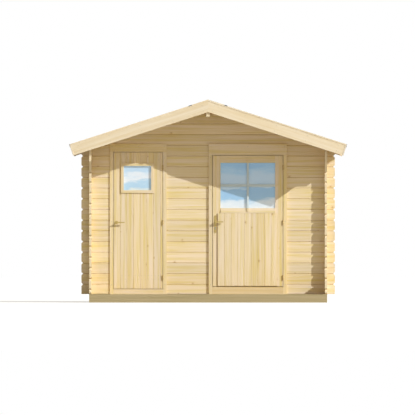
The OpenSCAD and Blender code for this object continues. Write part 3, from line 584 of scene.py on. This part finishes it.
# Hinges: turned steel barrels with a yellow passivated zinc coat, screwed into leaf and post and domed
# at both ends. Handles: roses, lock plates and levers of cast brass, satin finished under lacquer.
def plated(name, code, rough, metallic=1.0):
    """Metal with a faint cloudiness in its polish. Its wear is too fine to see."""
    material, tree = blank(name)
    tone_spread, least_tone, dullness = 0.22, 0.88, 0.16
    cloud = add(tree, "ShaderNodeTexNoise", {"Vector": add(tree, COORDS, out="Object"), "Scale": 60.0,
        "Detail": 4.0})
    tone = add(tree, MATH, (cloud, tone_spread, least_tone), operation="MULTIPLY_ADD")
    colour = add(tree, "ShaderNodeHueSaturation", {"Color": code, "Value": tone})
    dull = add(tree, MATH, (cloud, dullness, rough - dullness / 2), operation="MULTIPLY_ADD")
    add(tree, "ShaderNodeOutputMaterial", (add(tree, "ShaderNodeBsdfPrincipled", {"Base Color": colour,
        "Roughness": dull, "Metallic": metallic}),))
    return material


# Bare zinc is a cloudy grey. The passivated coat and the lacquer are dull straw yellows that mirror
# little, so both are only partly metallic. A near-black metal stands for the key slots: painted shade.
zinc = plated("zinc_plated_steel", "#A9A79C", 0.42)
passivated = plated("yellow_passivated_steel", "#C2A66E", 0.5, metallic=0.4)
brass = plated("satin_brass", "#C9AF6B", 0.4, metallic=0.6)
slot_shade = plated("painted_key_slot_shade", "#2A2723", 0.6)
paint(passivated, "left_hinge_pins", "right_hinge_pins", "left_hinge_sleeves", "right_hinge_sleeves")
paint(brass, "left_roses", "left_lever", "right_lock_plates", "right_lever")
cap_facets = 16


def domed_cap(bm, at, radius, height, way):
    """A shallow dome on a barrel's end, of three rings and a tip. way is 1 for up and -1 for down."""
    rings = []
    for angle in (0, math.pi / 6, math.pi / 3):
        rings.append([bm.verts.new(Vector(at) + Vector((radius * math.cos(angle) * math.cos(a),
            radius * math.cos(angle) * math.sin(a), way * height * math.sin(angle))))
            for a in (i * 2 * math.pi / cap_facets for i in range(cap_facets))])
    tip = bm.verts.new(Vector(at) + Vector((0, 0, way * height)))
    faces = [bm.faces.new(rings[0])]
    for i in range(cap_facets):
        j = (i + 1) % cap_facets
        faces += [bm.faces.new((low[i], low[j], high[j], high[i])) for low, high in zip(rings, rings[1:])]
        faces.append(bm.faces.new((rings[-1][i], rings[-1][j], tip)))
    bmesh.ops.recalc_face_normals(bm, faces=faces)


joints = {joint["name"]: joint for joint in frame["joints"]}
hinge_half, cap_radius, cap_height = 0.030, 0.0065, 0.0025
for side in ("left", "right"):
    axis = joints[side + "_door"]["pos_m"]
    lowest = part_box(side + "_hinge_pins")[0][2] + hinge_half
    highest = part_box(side + "_hinge_sleeves")[1][2] - hinge_half
    for name, body, offset, way in (("below", "root", -hinge_half, -1),
            ("above", side + "_leaf", hinge_half, 1)):
        caps = bmesh.new()
        for z in (lowest, (lowest + highest) / 2, highest):
            domed_cap(caps, (axis[0], axis[1], z + offset), cap_radius, cap_height, way)
        finished(f"{side}_hinge_caps_{name}", caps, passivated, body)

# Lock of the right door: a profile cylinder of zinc plated steel that passes through the stile.
# It stands 1 mm proud of each plate, with a key slot in its round head.
plates_low, plates_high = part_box("right_lock_plates")
plate_x = (plates_low[0] + plates_high[0]) / 2
key_drop, core_facets = 0.072, 20
key_z = joints["right_lever_turn"]["pos_m"][2] - key_drop
core_radius, core_tall, tail_wide, core_out = 0.0085, 0.033, 0.010, 0.001
slot_wide, slot_tall, slot_out = 0.0016, 0.009, 0.0003
tail_z, tail_turn = key_z + core_radius - core_tall, math.asin(tail_wide / 2 / core_radius)
for name, y, way in (("outside", plates_low[1], -1), ("inside", plates_high[1], 1)):
    core = bmesh.new()
    round_head = [(plate_x + core_radius * math.sin(a), y, key_z - core_radius * math.cos(a)) for a in
        (tail_turn + (2 * math.pi - 2 * tail_turn) * i / core_facets for i in range(core_facets + 1))]
    extruded(core, round_head + [(plate_x - tail_wide / 2, y, tail_z), (plate_x + tail_wide / 2, y, tail_z)],
        (0, way * core_out, 0))
    finished("lock_cylinder_" + name, core, zinc, "right_leaf")
    # The key slot is a dark strip 0.3 mm proud of the head, not a cut: painted shade.
    slot = bmesh.new()
    block(slot, (plate_x - slot_wide / 2, y + way * core_out, key_z - slot_tall / 2),
        (plate_x + slot_wide / 2, y + way * (core_out + slot_out), key_z + slot_tall / 2))
    finished("key_slot_" + name, slot, slot_shade, "right_leaf")

# Fixings: galvanised clout nails in the felt, screws in the barge boards and casings, nails in the floor
# and panel pins in the door boards. Each row of heads is laid out by one node tree, and all rows of a
# kind on one body are joined to one piece.
rows_of_heads = bpy.data.node_groups.new("rows_of_heads", "GeometryNodeTree")
for name, kind in (("Start", "Vector"), ("Step", "Vector"), ("Count", "Int"), ("Row Step", "Vector"),
        ("Rows", "Int"), ("Turn", "Vector"), ("Radius", "Float"), ("Height", "Float"),
        ("Finish", "Material")):
    rows_of_heads.interface.new_socket(name, in_out="INPUT", socket_type="NodeSocket" + kind)
rows_of_heads.interface.new_socket("Heads", in_out="OUTPUT", socket_type="NodeSocketGeometry")
head_facets, rim_share = 10, 0.7
given = add(rows_of_heads, "NodeGroupInput").node.outputs
row = add(rows_of_heads, "GeometryNodeMeshLine", {"Count": given["Count"], "Start Location": given["Start"],
    "Offset": given["Step"]}, mode="OFFSET")
column = add(rows_of_heads, "GeometryNodeMeshLine", {"Count": given["Rows"], "Offset": given["Row Step"]},
    mode="OFFSET")
places = add(rows_of_heads, "GeometryNodeInstanceOnPoints", {"Points": row, "Instance": column})
places = add(rows_of_heads, "GeometryNodeRealizeInstances", (places,))
rim = add(rows_of_heads, MATH, (given["Radius"], rim_share), operation="MULTIPLY")
head = add(rows_of_heads, "GeometryNodeMeshCone", {"Vertices": head_facets, "Radius Top": rim,
    "Radius Bottom": given["Radius"], "Depth": given["Height"]})
heads_laid = add(rows_of_heads, "GeometryNodeInstanceOnPoints", {"Points": places, "Instance": head,
    "Rotation": given["Turn"]})
heads_laid = add(rows_of_heads, "GeometryNodeRealizeInstances", (heads_laid,))
heads_laid = add(rows_of_heads, "GeometryNodeSetMaterial", {"Geometry": heads_laid,
    "Material": given["Finish"]})
add(rows_of_heads, "NodeGroupOutput", (heads_laid,))


def heads(name, body, finish, patterns, radius, height):
    """Makes one piece of all the heads in patterns: start, step, count, row step, rows and turn."""
    joined = bmesh.new()
    for pattern in patterns:
        carrier = bpy.data.objects.new("carrier", bpy.data.meshes.new("carrier"))
        bpy.context.collection.objects.link(carrier)
        modifier = carrier.modifiers.new("heads", "NODES")
        modifier.node_group = rows_of_heads
        sockets = [item for item in rows_of_heads.interface.items_tree if item.in_out == "INPUT"]
        for item, value in zip(sockets, (*pattern, radius, height, finish)):
            modifier[item.identifier] = value
        made = bpy.data.meshes.new_from_object(carrier.evaluated_get(bpy.context.evaluated_depsgraph_get()))
        carrier.modifiers.clear()
        joined.from_mesh(made)
        bpy.data.meshes.remove(made)
        bpy.data.objects.remove(carrier)
    finished(name, joined, finish, body)


NONE = (0.0, 0.0, 0.0)
to_front, to_back = (math.pi / 2, 0.0, 0.0), (-math.pi / 2, 0.0, 0.0)
nail_pitch, nails_along, nails_down = 0.1, 27, 16
nail_inset, first_nail, fold_nail = 0.02, 0.05, 0.03
nail_rows = []
for side in (-1, 1):
    lean, down = (0.0, side * roof_pitch, 0.0), on_slope(side, 1, 0, 0) - on_slope(side, 0, 0, 0)
    nail_rows.append((on_slope(side, ridge_strip - nail_inset, ridge_top, roof_low[1] + 2 * nail_inset),
        (0, nail_pitch, 0), nails_along, NONE, 1, lean))
    for above, y, wide in ((felt_top + lap_thick, roof_middle - strip_wide / 2, strip_wide),
            (felt_top, roof_low[1], roof_long)):
        nail_rows.append((on_slope(side, ridge_strip + first_nail, above, y + nail_inset), down * nail_pitch,
            nails_down, (0, wide - 2 * nail_inset, 0), 2, lean))
    nail_rows.append((on_slope(side, fold_out, felt_top - fold_nail, roof_low[1] + fold_nail),
        (0, nail_pitch, 0), nails_along, NONE, 1, (0.0, side * (roof_pitch + math.pi / 2), 0.0)))
heads("clout_nails", "root", zinc, nail_rows, radius=0.005, height=0.0012)

barge_first, barge_pitch, barge_screws, barge_inset, barge_rows_apart = 0.09, 0.41, 5, 0.03, 0.07
post_first, post_pitch, post_screws, half_casing = 0.12, 0.40, 5, 0.0225
head_inset, head_screws = 0.03, 3
screw_rows = []
for side in (-1, 1):
    down = on_slope(side, 1, 0, 0) - on_slope(side, 0, 0, 0)
    inward = on_slope(side, 0, -1, 0) - on_slope(side, 0, 0, 0)
    for y, turn in ((roof_low[1], to_front), (roof_high[1], to_back)):
        screw_rows.append((on_slope(side, barge_first, -barge_inset, y), down * barge_pitch, barge_screws,
            inward * barge_rows_apart, 2, turn))
for door in ("left", "right"):
    post_low, post_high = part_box(door + "_lock_post")
    head_low, head_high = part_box(door + "_head")
    across = (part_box(door + "_hinge_post")[1][0] - post_low[0] - 2 * half_casing, 0, 0)
    for y, turn in ((post_low[1], to_front), (post_high[1], to_back)):
        screw_rows.append(((post_low[0] + half_casing, y, post_low[2] + post_first), (0, 0, post_pitch),
            post_screws, across, 2, turn))
        screw_rows.append(((head_low[0] + head_inset, y, head_high[2] - head_inset),
            ((head_high[0] - head_low[0] - 2 * head_inset) / (head_screws - 1), 0, 0),
            head_screws, NONE, 1, turn))
heads("casing_and_barge_screws", "root", zinc, screw_rows, radius=0.0035, height=0.0006)

floor_count, inner_joists = 20, joist_spaces - 1
heads("floor_nails", "root", zinc, [((beam_low[0] + joist_pitch + joist_wide / 2,
    floor_low[1] + floor_board * share, floor_high[2]), (0, floor_board, 0), floor_count, (joist_pitch, 0, 0),
    inner_joists, NONE) for share in (0.25, 0.75)], radius=0.0035, height=0.0006)
leaf_count, ledge_tall, ledge_nails = 6, 0.095, (0.025, 0.07)
heads("left_leaf_nails", "left_leaf", zinc, [((leaf_low[0] + first_board + x, leaf_low[1],
    ledge_low[2] + z), (door_board, 0, 0), leaf_count, (0, 0, ledge_high[2] - ledge_low[2] - ledge_tall), 2,
    to_front) for x in (nail_inset, door_board - nail_inset) for z in ledge_nails],
    radius=0.0026, height=0.0005)
pin_inset, pin_rise = 0.03, 0.045
heads("right_cladding_pins", "right_leaf", zinc, [((clad_start + x, clad_low[1],
    clad_low[2] + pin_rise), (door_board, 0, 0), clad_boards,
    (0, 0, clad_high[2] - clad_low[2] - 2 * pin_rise), 2, to_front) for x in (pin_inset, 2 * pin_inset)],
    radius=0.0022, height=0.0005)
plate_inset = 0.014
heads("lock_plate_screws", "right_leaf", brass, [((plate_x, y, plates_low[2] + plate_inset),
    (0, 0, plates_high[2] - plates_low[2] - 2 * plate_inset), 2, NONE, 1, turn)
    for y, turn in ((plates_low[1], to_front), (plates_high[1], to_back))], radius=0.0042, height=0.0012)
